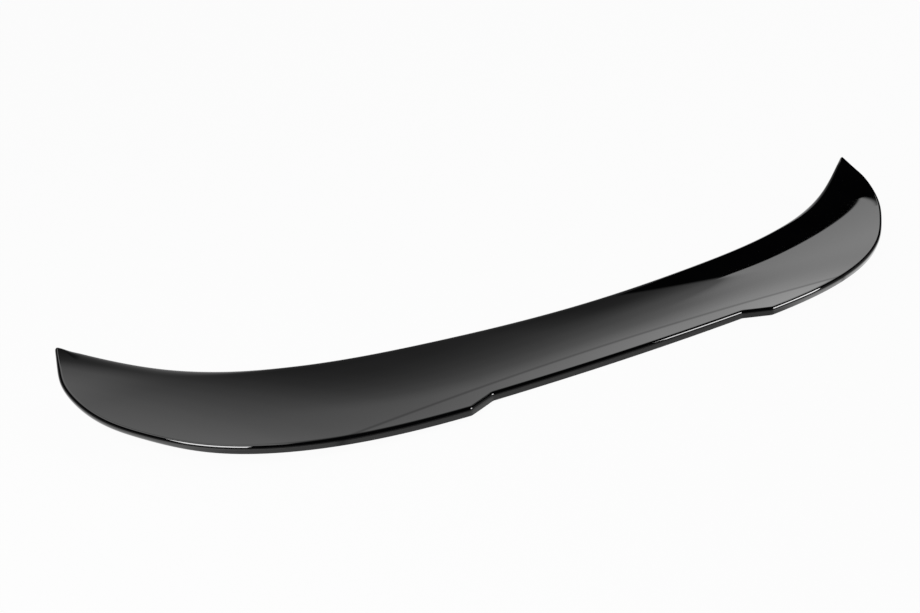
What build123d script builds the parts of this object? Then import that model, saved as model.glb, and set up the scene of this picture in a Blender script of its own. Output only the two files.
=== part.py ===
"""Rear boot spoiler: one moulded shell with a dished top, a notched trailing lip and pointed, upswept ends.

Millimetres. X runs along the span to the car's right, +Y points forward and Z is up. The origin is under
the middle of the plan outline, level with the lowest point of the lip.
"""
import os
from math import asin, cos, degrees, radians, sin, sqrt

from build123d import *

# Plan outline
half_span = 626.2          # centre line to each tip
plan_depth = 249.0         # rearmost trailing edge to the tips
centre_chord = 138.0       # rearmost trailing edge to the leading edge, on the centre line
notch_half = 192.5         # centre line to the inner corner of the notch
notch_run = 37.0           # length of each slanted notch side along the span
notch_depth = 16.5         # how far the notch steps forward
notch_radius = 10.0        # rounding of the notch corners, in plan
tip_radius = 3.2           # rounding of the pointed tips, in plan

# Dished top
dish_radius = 426.0        # hollow of the section
dish_low = 72.0            # lowest line of the dish, ahead of the rearmost trailing edge
span_rise = 33.8           # rise of that line from the centre to the tips

# Strip along the trailing lip, turned up behind a soft crease
crease_ahead = 38.5        # crease on the centre line, ahead of the rearmost trailing edge
strip_angle = 1.7          # how much steeper the strip is than the dish
strip_lag = 2.65           # how much less the strip rises by the tips, so that the crease runs out at the lip

# Wall and rim
wall = 3.6                 # thickness of the skin
rim_width = 4.0            # thickness of the rim that hangs below the skin
rim_middle = 10.5          # depth of the rim at the centre line
rim_end = 7.4              # depth of the rim level with the tips
edge_radius = 3.0          # rounded upper edge, all the way round
edge_share = 0.66          # most of the rim's depth that the rounding takes

# Room around the outline for the bodies that trim it
room = 40.0

rear = -plan_depth / 2
front = plan_depth / 2
lead_middle = rear + centre_chord
notch_y = rear + notch_depth
low_y = rear + dish_low
tip = (half_span, front)

# The rim's lowest point, its inner edge at the middle of the notch, stands on Z = 0
rim_radius = dish_radius + rim_middle
rim_low = sqrt(rim_radius ** 2 - (notch_y + rim_width - low_y) ** 2) - rim_radius
top_low = rim_low + rim_middle

# The strip has the dish's section, turned about the crease
crease_y = rear + crease_ahead
crease_slope = asin((low_y - crease_y) / dish_radius)
strip_slope = crease_slope + radians(strip_angle)
strip_y = crease_y + dish_radius * sin(strip_slope)
strip_low = top_low + dish_radius * (cos(strip_slope) - cos(crease_slope))


def lead_point(along, across):
    """Point ahead of the leading edge's middle, as shares of the half span and of the tips' sweep."""
    return (along * half_span, lead_middle + across * (front - lead_middle))


def trail_point(along, across):
    """Point ahead of the rearmost trailing edge, as shares of the half span and of the plan's depth."""
    return (along * half_span, rear + across * plan_depth)


# Plan outline: the right half is drawn and mirrored
with BuildSketch(Plane.XY) as outline:
    with BuildLine():
        Spline(
            lead_point(0, 0), lead_point(0.349, 0.055), lead_point(0.649, 0.207), lead_point(0.848, 0.539), tip,
            tangents=((1, 0), (1, 0.57)),
        )
        Spline(
            (notch_half + notch_run, rear), trail_point(0.609, 0.056), trail_point(0.822, 0.26),
            trail_point(0.903, 0.417), trail_point(0.966, 0.585), trail_point(1.002, 0.779), tip,
            tangents=((1, 0.02), (-0.08, 1)),
        )
        Polyline((notch_half + notch_run, rear), (notch_half, notch_y), (0, notch_y))
        mirror(about=Plane.YZ)
    make_face()


def under_arc(lowest_y, lowest_z, radius, spare=room):
    """Region of the centre plane under an arc that is hollow upwards, with spare room past the outline."""
    back, ahead, base = rear - spare, front + spare, -3 * spare
    with BuildSketch(Plane.YZ) as region:
        with BuildLine():
            arc = ThreePointArc(
                (back, lowest_z + radius - sqrt(radius ** 2 - (back - lowest_y) ** 2)),
                (lowest_y, lowest_z),
                (ahead, lowest_z + radius - sqrt(radius ** 2 - (ahead - lowest_y) ** 2)),
            )
            Polyline(arc @ 1, (ahead, base), (back, base), arc @ 0)
        make_face()
    return region.sketch


def along_span(region, low_z, rise):
    """A region of the centre plane carried along the whole span, so that it rises towards both tips."""
    radius = (half_span ** 2 + rise ** 2) / (2 * rise)
    reach = degrees(asin((half_span + room) / radius))
    pivot = Axis((0, 0, low_z + radius), (0, 1, 0))
    with BuildPart() as body:
        revolve(region.rotate(pivot, -reach), axis=pivot, revolution_arc=2 * reach)
    return body.part


# What lies under the top, under the skin and under the rim
with BuildPart() as under_top:
    add(along_span(under_arc(low_y, top_low, dish_radius), top_low, span_rise))
    add(along_span(under_arc(strip_y, strip_low, dish_radius, room / 2), top_low, span_rise - strip_lag))
under_skin = along_span(under_arc(low_y, top_low - wall, dish_radius + wall), top_low, span_rise)
under_rim = along_span(under_arc(low_y, rim_low, rim_radius), rim_low, span_rise + rim_middle - rim_end)
reach_up = top_low + span_rise + plan_depth

# Space under the skin, inside the rim
with BuildSketch(Plane.XY.offset(-room)) as inside_rim:
    add(outline.sketch)
    offset(amount=-rim_width, mode=Mode.REPLACE)

with BuildPart() as hollow:
    extrude(inside_rim.sketch.to_splines(), amount=room + reach_up)
    add(under_skin, mode=Mode.INTERSECT)

# The shell: the outline cut from the dish, its upper edge rounded, hollowed from below
with BuildPart() as spoiler_shell:
    with BuildSketch(Plane.XY.offset(-room)):
        add(outline.sketch)
    extrude(amount=room + reach_up)
    corners = spoiler_shell.edges().filter_by(Axis.Z).group_by(Axis.Y)
    fillet(corners[0] + corners[1], radius=notch_radius)
    fillet(spoiler_shell.edges().filter_by(Axis.Z).group_by(Axis.Y)[-1], radius=tip_radius)
    add(under_top.part, mode=Mode.INTERSECT)
    add(under_rim, mode=Mode.SUBTRACT)
    curved = spoiler_shell.faces().filter_by(GeomType.TORUS)
    strip, dish = curved.filter_by(lambda face: face.normal_at().Z > 0).sort_by(SortBy.AREA)
    crease = strip.edges() & dish.edges()
    upper_edge = [edge for edge in dish.edges() + strip.edges() if edge not in crease]
    fillet(upper_edge, radius=min(edge_radius, tip_radius, edge_share * rim_end))
    add(hollow.part, clean=False, mode=Mode.SUBTRACT)
spoiler_shell.part.label = "spoiler_shell"

os.makedirs("parts", exist_ok=True)
export_step(spoiler_shell.part, "parts/spoiler_shell.step")
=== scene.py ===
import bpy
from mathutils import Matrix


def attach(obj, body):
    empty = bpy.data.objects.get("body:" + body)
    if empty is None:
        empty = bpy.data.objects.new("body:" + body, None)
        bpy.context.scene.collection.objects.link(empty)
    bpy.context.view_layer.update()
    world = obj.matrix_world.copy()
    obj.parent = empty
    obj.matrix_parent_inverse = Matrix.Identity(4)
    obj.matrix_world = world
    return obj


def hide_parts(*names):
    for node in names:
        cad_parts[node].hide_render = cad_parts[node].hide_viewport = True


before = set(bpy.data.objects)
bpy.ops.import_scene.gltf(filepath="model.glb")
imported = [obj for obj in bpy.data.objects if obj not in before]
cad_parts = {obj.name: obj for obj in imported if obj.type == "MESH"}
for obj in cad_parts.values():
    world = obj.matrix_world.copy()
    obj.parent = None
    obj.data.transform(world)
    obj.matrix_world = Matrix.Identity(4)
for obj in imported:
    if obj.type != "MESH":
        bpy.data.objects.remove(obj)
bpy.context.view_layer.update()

from math import asin, cos, radians, sin, sqrt

import bpy
from mathutils import Matrix, Vector

# Shell
# The whole spoiler is one injection-moulded shell of black plastic, open below. Its dished top is trimmed
# by two plan edges, rolled over into a low rim and lacquered to a deep gloss. The rim's inside and the
# underside stay as they left the mould. It is bonded to the boot lid along the rim.
scene = bpy.context.scene
MM = 0.001

# Right half of each plan edge, from the centre line to the tip: knot, handle before, handle after
LEADING_EDGE = (
    ((0.0, 13.5), (0.0, 13.5), (73.362, 13.5)),
    ((218.544, 19.605), (145.572, 16.297), (281.498, 22.459)),
    ((406.404, 36.477), (345.02, 25.694), (448.695, 43.906)),
    ((531.018, 73.329), (489.971, 54.917), (563.341, 87.828)),
    ((621.834, 122.003), (595.522, 106.915), (622.782, 122.547)),
    ((624.911, 122.063), (623.943, 122.57), (624.911, 122.063)),
)
TRAILING_EDGE = (
    ((0.0, -108.0), (0.0, -108.0), (63.457, -108.0)),
    ((190.371, -108.0), (126.914, -108.0), (191.775, -108.0)),
    ((194.444, -108.867), (193.162, -108.295), (205.449, -113.774)),
    ((227.458, -123.589), (216.453, -118.682), (228.805, -124.19)),
    ((231.741, -124.454), (230.268, -124.486), (284.323, -123.35)),
    ((381.356, -110.556), (332.557, -120.439), (427.676, -101.175)),
    ((514.736, -59.76), (474.506, -85.513), (532.787, -48.205)),
    ((565.459, -20.667), (549.51, -34.619), (579.779, -8.14)),
    ((604.909, 21.165), (593.475, 4.682), (615.509, 36.446)),
    ((627.452, 69.471), (624.165, 54.874), (630.644, 83.644)),
    ((626.614, 119.5), (628.775, 94.206), (626.521, 120.589)),
    ((624.911, 122.063), (625.879, 121.556), (624.911, 122.063)),
)
LEADING, TRAILING = 0, 1   # their order in the curve
PLAN_STEPS = 64            # steps of each piece of a plan edge

# Main sizes, in millimetres
HALF_SPAN = 626.2          # centre line to each tip
NOTCH_LINE = -108.0        # trailing edge in the middle of the notch
DISH_RADIUS = 426.0        # hollow of the section
DISH_LOW = -52.5           # lowest line of the dish
SPAN_RISE = 33.8           # rise of that line from the centre to the tips
CREASE = -79.5             # crease on the centre line
STRIP_ANGLE = 1.7          # degrees by which the strip behind the crease is steeper than the dish
STRIP_LAG = 2.65           # how much less that strip rises by the tips
WALL = 3.6                 # thickness of the skin
RIM_WIDTH = 4.0            # thickness of the rim
RIM_MIDDLE = 10.5          # depth of the rim at the centre line
RIM_END = 9.2              # depth of the rim level with the tips

# The rim stands on the floor in the middle of the notch, and the strip is the dish turned about the crease
rim_radius = DISH_RADIUS + RIM_MIDDLE
rim_low = sqrt(rim_radius ** 2 - (NOTCH_LINE + RIM_WIDTH - DISH_LOW) ** 2) - rim_radius
top_low = rim_low + RIM_MIDDLE
crease_slope = asin((DISH_LOW - CREASE) / DISH_RADIUS)
strip_slope = crease_slope + radians(STRIP_ANGLE)


def span_axis(low, rise):
    """Height of the axis about which a section is carried along the span."""
    return low + (HALF_SPAN ** 2 + rise ** 2) / (2 * rise)


# Each section that is carried along the span, with the sizes that its surface needs
CARRIED_SIZES = ("lowest line", "lowest height", "section radius", "axis height")
CARRIED = {
    "Dish": (DISH_LOW, top_low, DISH_RADIUS, span_axis(top_low, SPAN_RISE)),
    "Strip": (
        CREASE + DISH_RADIUS * sin(strip_slope),
        top_low + DISH_RADIUS * (cos(strip_slope) - cos(crease_slope)),
        DISH_RADIUS,
        span_axis(top_low, SPAN_RISE - STRIP_LAG),
    ),
    "Underside": (DISH_LOW, top_low - WALL, DISH_RADIUS + WALL, span_axis(top_low, SPAN_RISE)),
    "Rim": (DISH_LOW, rim_low, rim_radius, span_axis(rim_low, SPAN_RISE + RIM_MIDDLE - RIM_END)),
}
shell_sizes = {
    f"{surface} {size}": value * MM
    for surface, values in CARRIED.items() for size, value in zip(CARRIED_SIZES, values)
}
shell_sizes.update({
    "Crease softness": 0.1 * MM,
    "Lip radius": 4.8 * MM,
    "End radius": 4.0 * MM,
    "Leading radius": 2.6 * MM,
    "Soft roll width": 12.0 * MM,
    "Soft roll drop": 3.6 * MM,
    "Tip roll width": 3.4 * MM,
    "End curl": 0.45 * MM,
    "End curl width": 5.0 * MM,
    "Foot radius": 0.5 * MM,
    "End foot width": 2.9 * MM,
    "Rim width": RIM_WIDTH * MM,
    # The rim's two insides meet short of the tip, at these shares of the plan edges' lengths
    "Leading rim ends": 0.99307,
    "Trailing rim ends": 0.99412,
})
ROLL_SHARE = 0.6           # most of the rim's depth that the rolled edge takes
FOOT_SHARE = 0.95          # share of the wall that the foot's rounding takes towards the ends
SLOPE_REACH = 1.5          # how far in from the edge the skin's slope is read

# Panels: points along the span, columns across each panel, and how they are joined
STATIONS = 1001
COLUMNS = {"top": 50, "roll": 9, "wall": 3, "outer round": 7, "foot": 2, "inner round": 3, "inner wall": 2,
           "underside": 8}
TOP_CROWDING = 1.5         # above 1, the top has closer columns towards the crease and the lip
QUARTER_TURN = sqrt(0.5)   # weight of the corner in a quarter circle
WELD = 0.008               # points closer than this become one
SHARP_FROM = 40            # degrees between faces that show as an edge


class Wire:
    """A socket of a node tree that takes part in Python arithmetic: each operator adds a Math node."""

    def __init__(self, tree, socket=None):
        self.tree, self.socket = tree, socket

    def node(self, kind, settings=None, sockets=None):
        """A new node, its settings made first and then its sockets' values or links; its first output."""
        made = self.tree.nodes.new(kind)
        for name, value in (settings or {}).items():
            if name == "interpolation":
                made.color_ramp.interpolation = value
            elif name == "stops":
                ramp = made.color_ramp.elements
                for place, _ in value[2:]:
                    ramp.new(place)
                for stop, (place, colour) in zip(ramp, value):
                    stop.position, stop.color = place, colour
            else:
                setattr(made, name, value)
        for key, value in (sockets or {}).items():
            for one in value if isinstance(value, list) else [value]:
                if isinstance(one, Wire):
                    one.into(made.inputs[key])
                else:
                    made.inputs[key].default_value = one
        return Wire(self.tree, made.outputs[0] if made.outputs else None)

    def out(self, name):
        """Another output of the node that this wire comes from."""
        return Wire(self.tree, self.socket.node.outputs[name])

    def into(self, socket):
        """Links this wire to a node's input."""
        self.tree.links.new(self.socket, socket)

    def math(self, operation, *others, swapped=False):
        """A Math node on this value and the others, or on the others and this value."""
        values = (*others, self) if swapped else (self, *others)
        return self.node("ShaderNodeMath", {"operation": operation}, dict(enumerate(values)))

    def __add__(self, other):
        return self.math("ADD", other)

    def __radd__(self, other):
        return self.math("ADD", other, swapped=True)

    def __sub__(self, other):
        return self.math("SUBTRACT", other)

    def __rsub__(self, other):
        return self.math("SUBTRACT", other, swapped=True)

    def __mul__(self, other):
        return self.math("MULTIPLY", other)

    def __rmul__(self, other):
        return self.math("MULTIPLY", other, swapped=True)

    def __truediv__(self, other):
        return self.math("DIVIDE", other)

    def __rtruediv__(self, other):
        return self.math("DIVIDE", other, swapped=True)

    def __pow__(self, other):
        return self.math("POWER", other)

    def __rpow__(self, other):
        return self.math("POWER", other, swapped=True)

    def sqrt(self):
        return self.math("SQRT")

    def at_least(self, least):
        return self.math("MAXIMUM", least)

    def at_most(self, most):
        return self.math("MINIMUM", most)


def shell_tree(gloss, moulded):
    """Geometry Nodes tree that lays panels between the two plan edges, all the way round the section."""
    tree = bpy.data.node_groups.new("Shell panels", "GeometryNodeTree")
    tree.interface.new_socket("Plan edges", in_out="INPUT", socket_type="NodeSocketGeometry")
    for name, value in shell_sizes.items():
        tree.interface.new_socket(name, in_out="INPUT", socket_type="NodeSocketFloat").default_value = value
    tree.interface.new_socket("Shell", in_out="OUTPUT", socket_type="NodeSocketGeometry")
    given = tree.nodes.new("NodeGroupInput")
    edges = Wire(tree, given.outputs["Plan edges"])
    size = {name: Wire(tree, given.outputs[name]) for name in shell_sizes}

    # Each panel is a grid from -1 to 1 along the span and from 0 to 1 across
    station = edges.node("ShaderNodeSeparateXYZ", {}, {0: edges.node("GeometryNodeInputPosition")})
    across = station.out("Y") + 0.5
    side, outwards = station.math("SIGN"), station.math("ABSOLUTE")

    def carried(surface, x, y):
        """Height of a carried section at a place in plan."""
        low, height, radius, axis = (size[f"{surface} {name}"] for name in CARRIED_SIZES)
        u = y - low
        section = height + u * u / (radius + (radius * radius - u * u).sqrt())
        swing = axis - section
        return section + x * x / (swing + (swing * swing - x * x).sqrt())

    def plan_edge(index, along):
        """Point of a plan edge and its outward direction, in plan."""
        sample = edges.node(
            "GeometryNodeSampleCurve", {"mode": "FACTOR"},
            {"Curves": edges, "Factor": along, "Curve Index": index},
        )
        point = edges.node("ShaderNodeSeparateXYZ", {}, {0: sample.out("Position")})
        tangent = edges.node("ShaderNodeSeparateXYZ", {}, {0: sample.out("Tangent")})
        turn = 1.0 if index == TRAILING else -1.0
        return point, point.out("Y"), tangent.out("Y") * turn, tangent * -turn

    def eased(first, last):
        """Soft step from 0 to 1 between two shares of each plan edge's length."""
        return edges.node("ShaderNodeMapRange", {"interpolation_type": "SMOOTHSTEP"}, {
            "Value": outwards, "From Min": first, "From Max": last})

    # Where the edges change along the span
    swept = eased(0.6, 0.8)          # the lip's radius gets smaller
    curled = eased(0.74, 0.88)       # the trailing edge curls up
    softened = eased(0.6, 0.85)      # the leading roll gets wide and soft
    near_tip = eased(0.955, 0.99)    # both edges close on the tip
    at_end = eased(0.64, 0.8) * (1 - near_tip)    # the trailing foot turns under
    edge_x, edge_y, edge_nx, edge_ny = plan_edge(TRAILING, outwards)

    def skin(x, y):
        """Height of the top skin, which turns up a little along the swept part of the trailing edge."""
        top = carried("Dish", x, y).math("SMOOTH_MAX", carried("Strip", x, y), size["Crease softness"])
        share = 1 - ((edge_x - x) * edge_nx + (edge_y - y) * edge_ny) / size["End curl width"]
        share = share.at_least(0.0)
        return top + size["End curl"] * curled * (1 - near_tip) * share * share

    def place(x, y, z):
        return edges.node("ShaderNodeCombineXYZ", {}, {0: x * side, 1: y, 2: z})

    def panel(part, position, material):
        grid = edges.node(
            "GeometryNodeMeshGrid", {},
            {"Size X": 2.0, "Size Y": 1.0, "Vertices X": STATIONS, "Vertices Y": COLUMNS[part]},
        )
        laid = edges.node("GeometryNodeSetPosition", {}, {"Geometry": grid, "Position": position})
        return edges.node("GeometryNodeSetMaterial", {}, {"Geometry": laid, "Material": material})

    def between(a, b, share):
        return [p + (q - p) * share for p, q in zip(a, b)]

    def rounded(a, corner, b, weight, share):
        """Circular arc from a to b that heads for the corner at both ends."""
        first, middle, last = (1 - share) * (1 - share), 2 * share * (1 - share) * weight, share * share
        whole = first + middle + last
        return [(p * first + c * middle + q * last) / whole for p, c, q in zip(a, corner, b)]

    def rim_rails(index):
        """Lines that run along one plan edge, from the rolled edge round the rim to the underside."""
        x, y, nx, ny = plan_edge(index, outwards)

        def inset(distance):
            return x - nx * distance, y - ny * distance

        # The roll has the given radius where skin and wall meet, and other widths towards the tip
        edge_height = skin(x, y)
        rise = (edge_height - skin(*inset(SLOPE_REACH * MM))) / (SLOPE_REACH * MM)
        slope = rise.math("ARCTANGENT")
        half = (radians(90) - slope) * 0.5
        tangent = half.math("TANGENT")
        radius = size["Leading radius"]
        if index == TRAILING:
            radius = size["Lip radius"] + (size["End radius"] - size["Lip radius"]) * swept
        roll = (radius / tangent * slope.math("COSINE"), radius / tangent)
        if index == LEADING:
            roll = between(roll, (size["Soft roll width"], size["Soft roll drop"]), softened)
        width, drop = between(roll, (size["Tip roll width"], size["End radius"] / tangent), near_tip)
        start = inset(width)
        rim_height = carried("Rim", x, y)
        drop = drop.at_most((edge_height - rim_height) * ROLL_SHARE)

        # The foot is hardly rounded, but turns under in a wide curve towards the ends of the trailing edge
        foot = size["Foot radius"]
        outer_width, outer_rise = foot, foot
        if index == TRAILING:
            wall = (edge_height - drop - rim_height) * FOOT_SHARE
            outer_width, outer_rise = between((foot, foot), (size["End foot width"], wall), at_end)
        outer_foot = inset(outer_width)

        ends = size["Trailing rim ends" if index == TRAILING else "Leading rim ends"]
        wall_x, wall_y, wall_nx, wall_ny = plan_edge(index, outwards.at_most(ends))
        inner = (wall_x - wall_nx * size["Rim width"], wall_y - wall_ny * size["Rim width"])
        inner_foot = between(inner, (x, y), foot / size["Rim width"])
        inner_height = carried("Rim", *inner)
        return {
            "weight": half.math("SINE"),
            "roll start": (*start, skin(*start)),
            "corner": (x, y, edge_height),
            "wall top": (x, y, edge_height - drop),
            "wall end": (x, y, rim_height + outer_rise),
            "foot corner": (x, y, rim_height),
            "foot start": (*outer_foot, carried("Rim", *outer_foot)),
            "foot end": (*inner_foot, carried("Rim", *inner_foot)),
            "inner corner": (*inner, inner_height),
            "inner start": (*inner, inner_height + foot),
            "inner end": (*inner, carried("Underside", *inner)),
        }

    def rim_panels(rails, share):
        """Panels of one rolled edge and its rim, from the top round to the underside."""
        def straight(first, last):
            return place(*between(rails[first], rails[last], share))

        def arc(first, corner, last, weight=QUARTER_TURN):
            return place(*rounded(rails[first], rails[corner], rails[last], weight, share))

        return [
            panel("roll", arc("roll start", "corner", "wall top", rails["weight"]), gloss),
            panel("wall", straight("wall top", "wall end"), gloss),
            panel("outer round", arc("wall end", "foot corner", "foot start"), gloss),
            panel("foot", straight("foot start", "foot end"), moulded),
            panel("inner round", arc("foot end", "inner corner", "inner start"), moulded),
            panel("inner wall", straight("inner start", "inner end"), moulded),
        ]

    # The underside and the trailing rim run the other way, so that they face outwards
    lead, trail = rim_rails(LEADING), rim_rails(TRAILING)
    above = between(trail["roll start"][:2], lead["roll start"][:2], across ** TOP_CROWDING)
    under = between(lead["inner end"][:2], trail["inner end"][:2], across)
    panels = [
        panel("top", place(*above, skin(*above)), gloss),
        panel("underside", place(*under, carried("Underside", *under)), moulded),
        *rim_panels(lead, across),
        *rim_panels(trail, 1 - across),
    ]
    joined = edges.node("GeometryNodeJoinGeometry", {}, {0: panels[::-1]})
    welded = edges.node("GeometryNodeMergeByDistance", {}, {"Geometry": joined, "Distance": WELD * MM})
    smooth = edges.node("GeometryNodeSetShadeSmooth", {}, {"Geometry": welded, "Shade Smooth": True})
    real = edges.node("GeometryNodeRealizeInstances", {}, {"Geometry": smooth})
    edges.node("NodeGroupOutput", {}, {"Shell": real})
    return tree


# Painted shade line: less coat along the crease, which bends back from the centre line towards the lip
CREASE_BEND = 0.2215       # metres that it bends back, for each square metre along the span
CREASE_SHADE_WIDTH = 3.4          # half the width of the painted shade line, in millimetres
CREASE_SHADE_DEPTH = 0.85     # share of the coat taken off on the crease, which paints the line's shade


def lacquer():
    """Deep black gloss lacquer: almost no colour of its own, a clear coat, a trace of orange peel and a
    painted shade line along the crease.
    """
    material = bpy.data.materials.new("black_lacquer")
    material.use_nodes = True
    shader = material.node_tree.nodes["Principled BSDF"].inputs
    start = Wire(material.node_tree)
    place = start.node("ShaderNodeTexCoord").out("Object")
    cloud = start.node("ShaderNodeTexNoise", {}, {"Vector": place, "Scale": 14.0, "Detail": 3.0})
    colour = start.node("ShaderNodeValToRGB", {"stops": (
        (0.3, (0.0011, 0.0011, 0.0013, 1)), (0.7, (0.0022, 0.0022, 0.0025, 1)),
    )}, {"Fac": cloud})
    colour.into(shader["Base Color"])
    (0.012 + cloud * 0.016).into(shader["Roughness"])
    peel = start.node("ShaderNodeTexNoise", {}, {"Vector": place, "Scale": 420.0, "Detail": 1.0})
    bump = start.node("ShaderNodeBump", {}, {"Height": peel, "Strength": 0.012, "Distance": 0.00002})
    bump.into(shader["Normal"])
    shader["IOR"].default_value = 1.5
    plan = start.node("ShaderNodeSeparateXYZ", {}, {0: place})
    # Painted shade: less coat along a thin line on the crease, so that its reflection is darker there
    from_crease = (plan.out("Y") - CREASE * MM + plan * plan * CREASE_BEND).math("ABSOLUTE")
    crease_shade = (1 - from_crease / (CREASE_SHADE_WIDTH * MM)).at_least(0.0)
    (1 - crease_shade * CREASE_SHADE_DEPTH).into(shader["Coat Weight"])
    shader["Coat Roughness"].default_value = 0.01
    shader["Coat IOR"].default_value = 1.5
    return material


def moulded_plastic():
    """Satin black plastic as it left the mould, with a fine spark-eroded grain."""
    material = bpy.data.materials.new("moulded_plastic")
    material.use_nodes = True
    shader = material.node_tree.nodes["Principled BSDF"].inputs
    start = Wire(material.node_tree)
    place = start.node("ShaderNodeTexCoord").out("Object")
    cloud = start.node("ShaderNodeTexNoise", {}, {"Vector": place, "Scale": 9.0, "Detail": 4.0})
    colour = start.node("ShaderNodeValToRGB", {"stops": (
        (0.3, (0.011, 0.011, 0.012, 1)), (0.7, (0.02, 0.02, 0.021, 1)),
    )}, {"Fac": cloud})
    colour.into(shader["Base Color"])
    (0.42 + cloud * 0.16).into(shader["Roughness"])
    grain = start.node("ShaderNodeTexNoise", {}, {"Vector": place, "Scale": 900.0, "Detail": 2.0})
    bump = start.node("ShaderNodeBump", {}, {"Height": grain, "Strength": 0.25, "Distance": 0.0001})
    bump.into(shader["Normal"])
    return material


plan_curve = bpy.data.curves.new("plan_edges", "CURVE")
plan_curve.dimensions = "3D"
for edge in (LEADING_EDGE, TRAILING_EDGE):
    spline = plan_curve.splines.new("BEZIER")
    spline.bezier_points.add(len(edge) - 1)
    spline.resolution_u = PLAN_STEPS
    for point, (knot, before, after) in zip(spline.bezier_points, edge):
        point.handle_left_type = point.handle_right_type = "FREE"
        point.co = Vector((*knot, 0)) * MM
        point.handle_left = Vector((*before, 0)) * MM
        point.handle_right = Vector((*after, 0)) * MM
plan_edges = bpy.data.objects.new("plan_edges", plan_curve)
scene.collection.objects.link(plan_edges)
panelling = plan_edges.modifiers.new("Shell panels", "NODES")
panelling.node_group = shell_tree(lacquer(), moulded_plastic())
for item in panelling.node_group.interface.items_tree:
    if item.in_out == "INPUT" and item.name in shell_sizes:
        panelling[item.identifier] = shell_sizes[item.name]
depsgraph = bpy.context.evaluated_depsgraph_get()
shell_mesh = bpy.data.meshes.new_from_object(plan_edges.evaluated_get(depsgraph), depsgraph=depsgraph)
shell_mesh.name = "lacquered_shell"
plan_edges.modifiers.remove(panelling)
bpy.data.objects.remove(plan_edges)
shell_mesh.set_sharp_from_angle(angle=radians(SHARP_FROM))
shell = bpy.data.objects.new("lacquered_shell", shell_mesh)
scene.collection.objects.link(shell)
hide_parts("spoiler_shell")
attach(shell, "root")

# Floor
# Plain white studio paper, laid flat under the spoiler and far past it on every side. It shows white to
# the camera and still takes the spoiler's shadow. In the gloss it glows white past the left end and on the
# right, as a painted reflection of lit paper, and is painted near black in between, as painted shade.
FLOOR_REACH = 12.0
PAPER_GREY = 0.62          # of the paper where it takes light and shadow
WHITE_TO_CAMERA = 0.96     # how white the paper shows, to the camera
WHITE_IN_GLOSS = 0.95      # painted glow in the gloss, past the left end and on the right
PAINTED_SHADE_IN_GLOSS = 0.01       # painted shade in the gloss, in between


def fade(value, full, none, most=1.0, least=0.0):
    """Soft step from most to least as a value goes from full to none."""
    return value.node("ShaderNodeMapRange", {"interpolation_type": "SMOOTHSTEP"}, {
        "Value": value, "From Min": full, "From Max": none, "To Min": most, "To Max": least})


floor_mesh = bpy.data.meshes.new("floor")
corners = [(-FLOOR_REACH, -FLOOR_REACH, 0), (FLOOR_REACH, -FLOOR_REACH, 0),
           (FLOOR_REACH, FLOOR_REACH, 0), (-FLOOR_REACH, FLOOR_REACH, 0)]
floor_mesh.from_pydata(corners, [], [(0, 1, 2, 3)])
floor = bpy.data.objects.new("floor", floor_mesh)
scene.collection.objects.link(floor)
paper = bpy.data.materials.new("studio_paper")
paper.use_nodes = True
paper.node_tree.nodes.clear()
sheet = Wire(paper.node_tree)
sheet_ray = sheet.node("ShaderNodeLightPath")
along = sheet.node("ShaderNodeSeparateXYZ", {}, {0: sheet.node("ShaderNodeTexCoord").out("Object")})
# Painted light, in the gloss only: white paper past the ends, and painted shade before the middle of the
# lip
lit_ends = fade(along, -0.58, -0.5) + fade(along, 0.33, 0.24)
painted_gloss_light_and_shade = sheet_ray.out("Is Glossy Ray") * (PAINTED_SHADE_IN_GLOSS + lit_ends * WHITE_IN_GLOSS)
shown_white = sheet_ray * WHITE_TO_CAMERA + painted_gloss_light_and_shade
matt = sheet.node("ShaderNodeBsdfDiffuse", {}, {"Color": (PAPER_GREY, PAPER_GREY, PAPER_GREY, 1)})
white = sheet.node("ShaderNodeEmission", {}, {"Color": (1, 1, 1, 1), "Strength": 1.0})
mixed = sheet.node("ShaderNodeMixShader", {}, {0: shown_white, 1: matt, 2: white})
sheet.node("ShaderNodeOutputMaterial", {}, {"Surface": mixed})
floor_mesh.materials.append(paper)

# Studio light
# A white cove behind the spoiler ends in a dark ceiling, sharply on the right and softly to the left, and
# a wide box hangs over the left end. Two lamps, far off to the right and near the left end, draw thin lines
# of light along the lip. The room is dim on the other sides, and the camera sees a white backdrop.
RADIAN = 57.29578          # in degrees
RAMP_SPAN = 90.0           # degrees that a ramp covers
BACKDROP = 0.97            # how white the backdrop shows to the camera
ROOM_BEHIND, ROOM_CAMERA_SIDE = 0.32, 0.05   # soft light of the room, behind and on the camera's side

world = bpy.data.worlds.new("studio")
scene.world = world
world.use_nodes = True
world.node_tree.nodes.clear()
sky = Wire(world.node_tree)
direction = sky.node("ShaderNodeSeparateXYZ", {}, {0: sky.node("ShaderNodeTexCoord").out("Generated")})
climb = direction.out("Z").math("ARCSINE") * RADIAN
bearing = direction.math("ARCTAN2", direction.out("Y")) * RADIAN


def by_angle(angle, scale, *stops):
    """A smooth curve through pairs of degrees and values, whose values reach up to the scale."""
    shares = [(degrees / RAMP_SPAN, value / scale) for degrees, value in stops]
    settings = {
        "interpolation": "CARDINAL",
        "stops": tuple((place, (grey, grey, grey, 1)) for place, grey in shares),
    }
    return angle.node("ShaderNodeValToRGB", settings, {"Fac": angle / RAMP_SPAN}) * scale


def glow(level):
    """A background whose grey changes with the direction."""
    grey = sky.node("ShaderNodeCombineColor", {}, {0: level, 1: level, 2: level})
    return sky.node("ShaderNodeBackground", {}, {"Color": grey, "Strength": 1.0})


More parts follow.
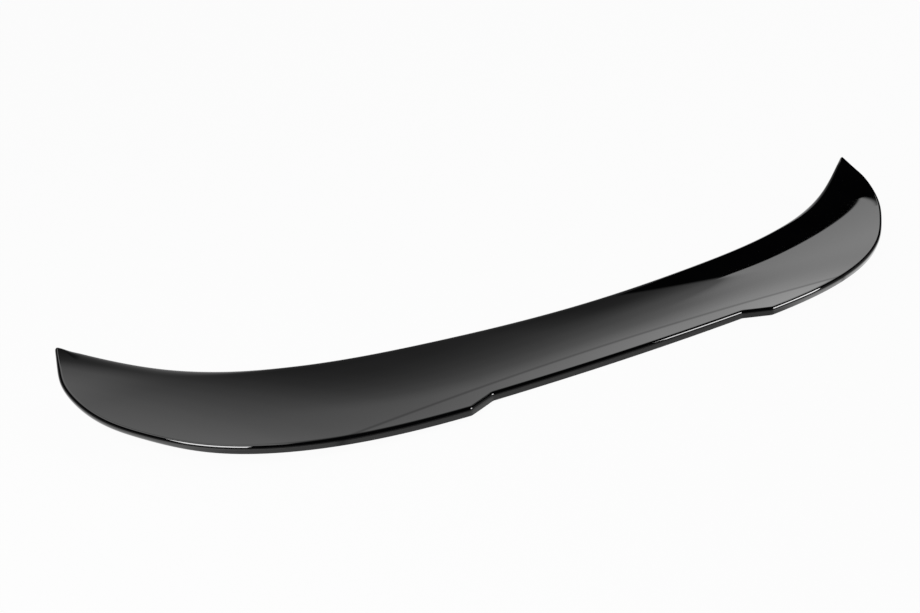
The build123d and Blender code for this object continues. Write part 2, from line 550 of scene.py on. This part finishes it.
# Behind the middle the cove darkens slowly upwards. It stands higher towards the left, and its upper part
# is dimmer towards the right
cove_lift = by_angle(bearing, 10, (18, 10), (20, 9), (22, 6.5), (24, 4), (26, 2), (28, 1), (30, 0))
cove_level = by_angle(
    bearing, 1.5, (16, 0.0), (18, 0.05), (20, 0.15), (22, 0.27), (24, 0.38), (26, 0.48), (28, 0.58),
    (30, 0.68), (34, 0.8), (38, 0.96), (42, 1.06), (46, 1.28), (50, 1.35))
slow = by_angle(
    climb - cove_lift, 1, (20, 1.0), (25, 0.97), (28, 0.84), (31, 0.57), (34, 0.4), (37, 0.28), (40, 0.2),
    (44, 0.13), (49, 0.09), (60, 0.02)) * cove_level
slow = slow * (1 - fade(bearing, 46.0, 38.0, 0.55) * fade(climb, 41.0, 36.0))

# On the right the cove stops sharply at the edge of a dark ceiling, which climbs past a corner of the room
CEILING, CEILING_CLIMB, CEILING_BLUR = 36.85, 0.62, 0.06
CORNER, CORNER_EASE, CORNER_REACH = 51.5, 5.0, 13.5
past_corner = (bearing - CORNER).at_least(0.0).at_most(CORNER_REACH)
ceiling_edge = CEILING + past_corner * past_corner * CEILING_CLIMB / (past_corner + CORNER_EASE)
ceiling = fade(climb, ceiling_edge - CEILING_BLUR, ceiling_edge + CEILING_BLUR)

# Its far end is a sharp edge too, which leans outwards under the ceiling
LEAN_FROM, LEAN_REACH, LEAN = 42.8, 3.0, 1.17
fallen = (LEAN_FROM - climb).at_least(0.0).at_most(LEAN_REACH)
cove_end = fade(bearing + fallen * LEAN, 64.75, 65.05)
sharp = ceiling * cove_end * fade(climb, 34.0, 24.0, 1.08, 0.85)

# The two parts of the cove blend widely below the ceiling, and along a narrow slanted line above its edge
below = fade(climb, 33.0, 36.5)
slanted = bearing + (climb - 37.0).at_least(0.0) * 0.3
rightwards = fade(slanted, 50.2 + below * 1.5, 49.2 - below * 6.0)
cove = slow + (sharp - slow) * rightwards

# The wide box over the left end is brightest towards the left, with a faint glow high above it
over = by_angle(
    bearing, 1, (8, 0.98), (12, 0.88), (14, 0.78), (16, 0.66), (18, 0.52), (20, 0.39), (22, 0.27),
    (24, 0.17), (26, 0.11), (28, 0.07), (34, 0.03), (46, 0.0))
over = over * (1 - rightwards) + fade(climb, 68.0, 57.0, 0.3) * fade(bearing, 19.0, 23.0)

# Both show only behind the spoiler and high over its left end, and elsewhere is a dim room, darker above
behind = fade(bearing, 80.0, 95.0) * fade(bearing, -60.0, -85.0)
behind = behind * (1 - fade(bearing, -1.0, 6.0) * fade(climb, 56.0, 70.0))
studio = (cove + over) * behind + fade(climb, 5.0, 45.0, 0.2) * (1 - behind)

# Gloss mirrors the studio, the other light comes softly from behind, and the camera sees the backdrop
sky_ray = sky.node("ShaderNodeLightPath")
room = fade(bearing.math("ABSOLUTE"), 90.0, 140.0, ROOM_BEHIND, ROOM_CAMERA_SIDE)
mirrored = sky_ray.out("Is Glossy Ray")
lit = sky.node("ShaderNodeMixShader", {}, {0: mirrored, 1: glow(room), 2: glow(studio)})
backdrop = sky.node("ShaderNodeBackground", {}, {
    "Color": (BACKDROP, BACKDROP, BACKDROP, 1), "Strength": 1.0})
shown = sky.node("ShaderNodeMixShader", {}, {0: sky_ray, 1: lit, 2: backdrop})
sky.node("ShaderNodeOutputWorld", {}, {"Surface": shown})


def soft_box(name, aim, towards, along, distance, width, tall, power):
    """A flat soft box that faces a point of the spoiler from a direction, its width lying along another."""
    lamp_data = bpy.data.lights.new(name, "AREA")
    lamp_data.shape = "RECTANGLE"
    lamp_data.size, lamp_data.size_y, lamp_data.energy = width, tall, power
    lamp = bpy.data.objects.new(name, lamp_data)
    scene.collection.objects.link(lamp)
    away = Vector(towards).normalized()
    upright = away.cross(Vector(along)).normalized()
    turned = Matrix((upright.cross(away), upright, away)).transposed().to_4x4()
    lamp.matrix_world = Matrix.Translation(Vector(aim) + away * distance) @ turned


soft_box(
    "side_box", aim=(0.2, -0.11, 0.01), towards=(2.69, -1.53, 2.47), along=(0.88, 0.39, -0.52),
    distance=3.95, width=1.28, tall=1.3, power=48.0)
soft_box(
    "left_box", aim=(-0.5, -0.07, 0.03), towards=(-0.47, -0.345, 0.875), along=(0.32, -0.24, 0.09),
    distance=1.05, width=0.42, tall=0.5, power=6.4)

# Camera
# The photograph's standpoint: behind the spoiler, to its left and well above it, with no roll.
# Its focal length is given in pixels of the photograph.
CAMERA_PLACE = (-0.5749, -0.7553, 0.59295)
CAMERA_BEARING, CAMERA_DIP = radians(27.63), radians(31.53)
FOCAL_PIXELS, IMAGE_WIDTH, SENSOR_WIDTH = 818.0, 920.0, 36.0

camera_data = bpy.data.cameras.new("camera")
camera_data.sensor_fit = "HORIZONTAL"
camera_data.sensor_width = SENSOR_WIDTH
camera_data.lens = FOCAL_PIXELS * SENSOR_WIDTH / IMAGE_WIDTH
camera = bpy.data.objects.new("camera", camera_data)
scene.collection.objects.link(camera)
camera.location = CAMERA_PLACE
camera.rotation_euler = (radians(90) - CAMERA_DIP, 0, -CAMERA_BEARING)
scene.camera = camera
scene.view_settings.view_transform = "Standard"
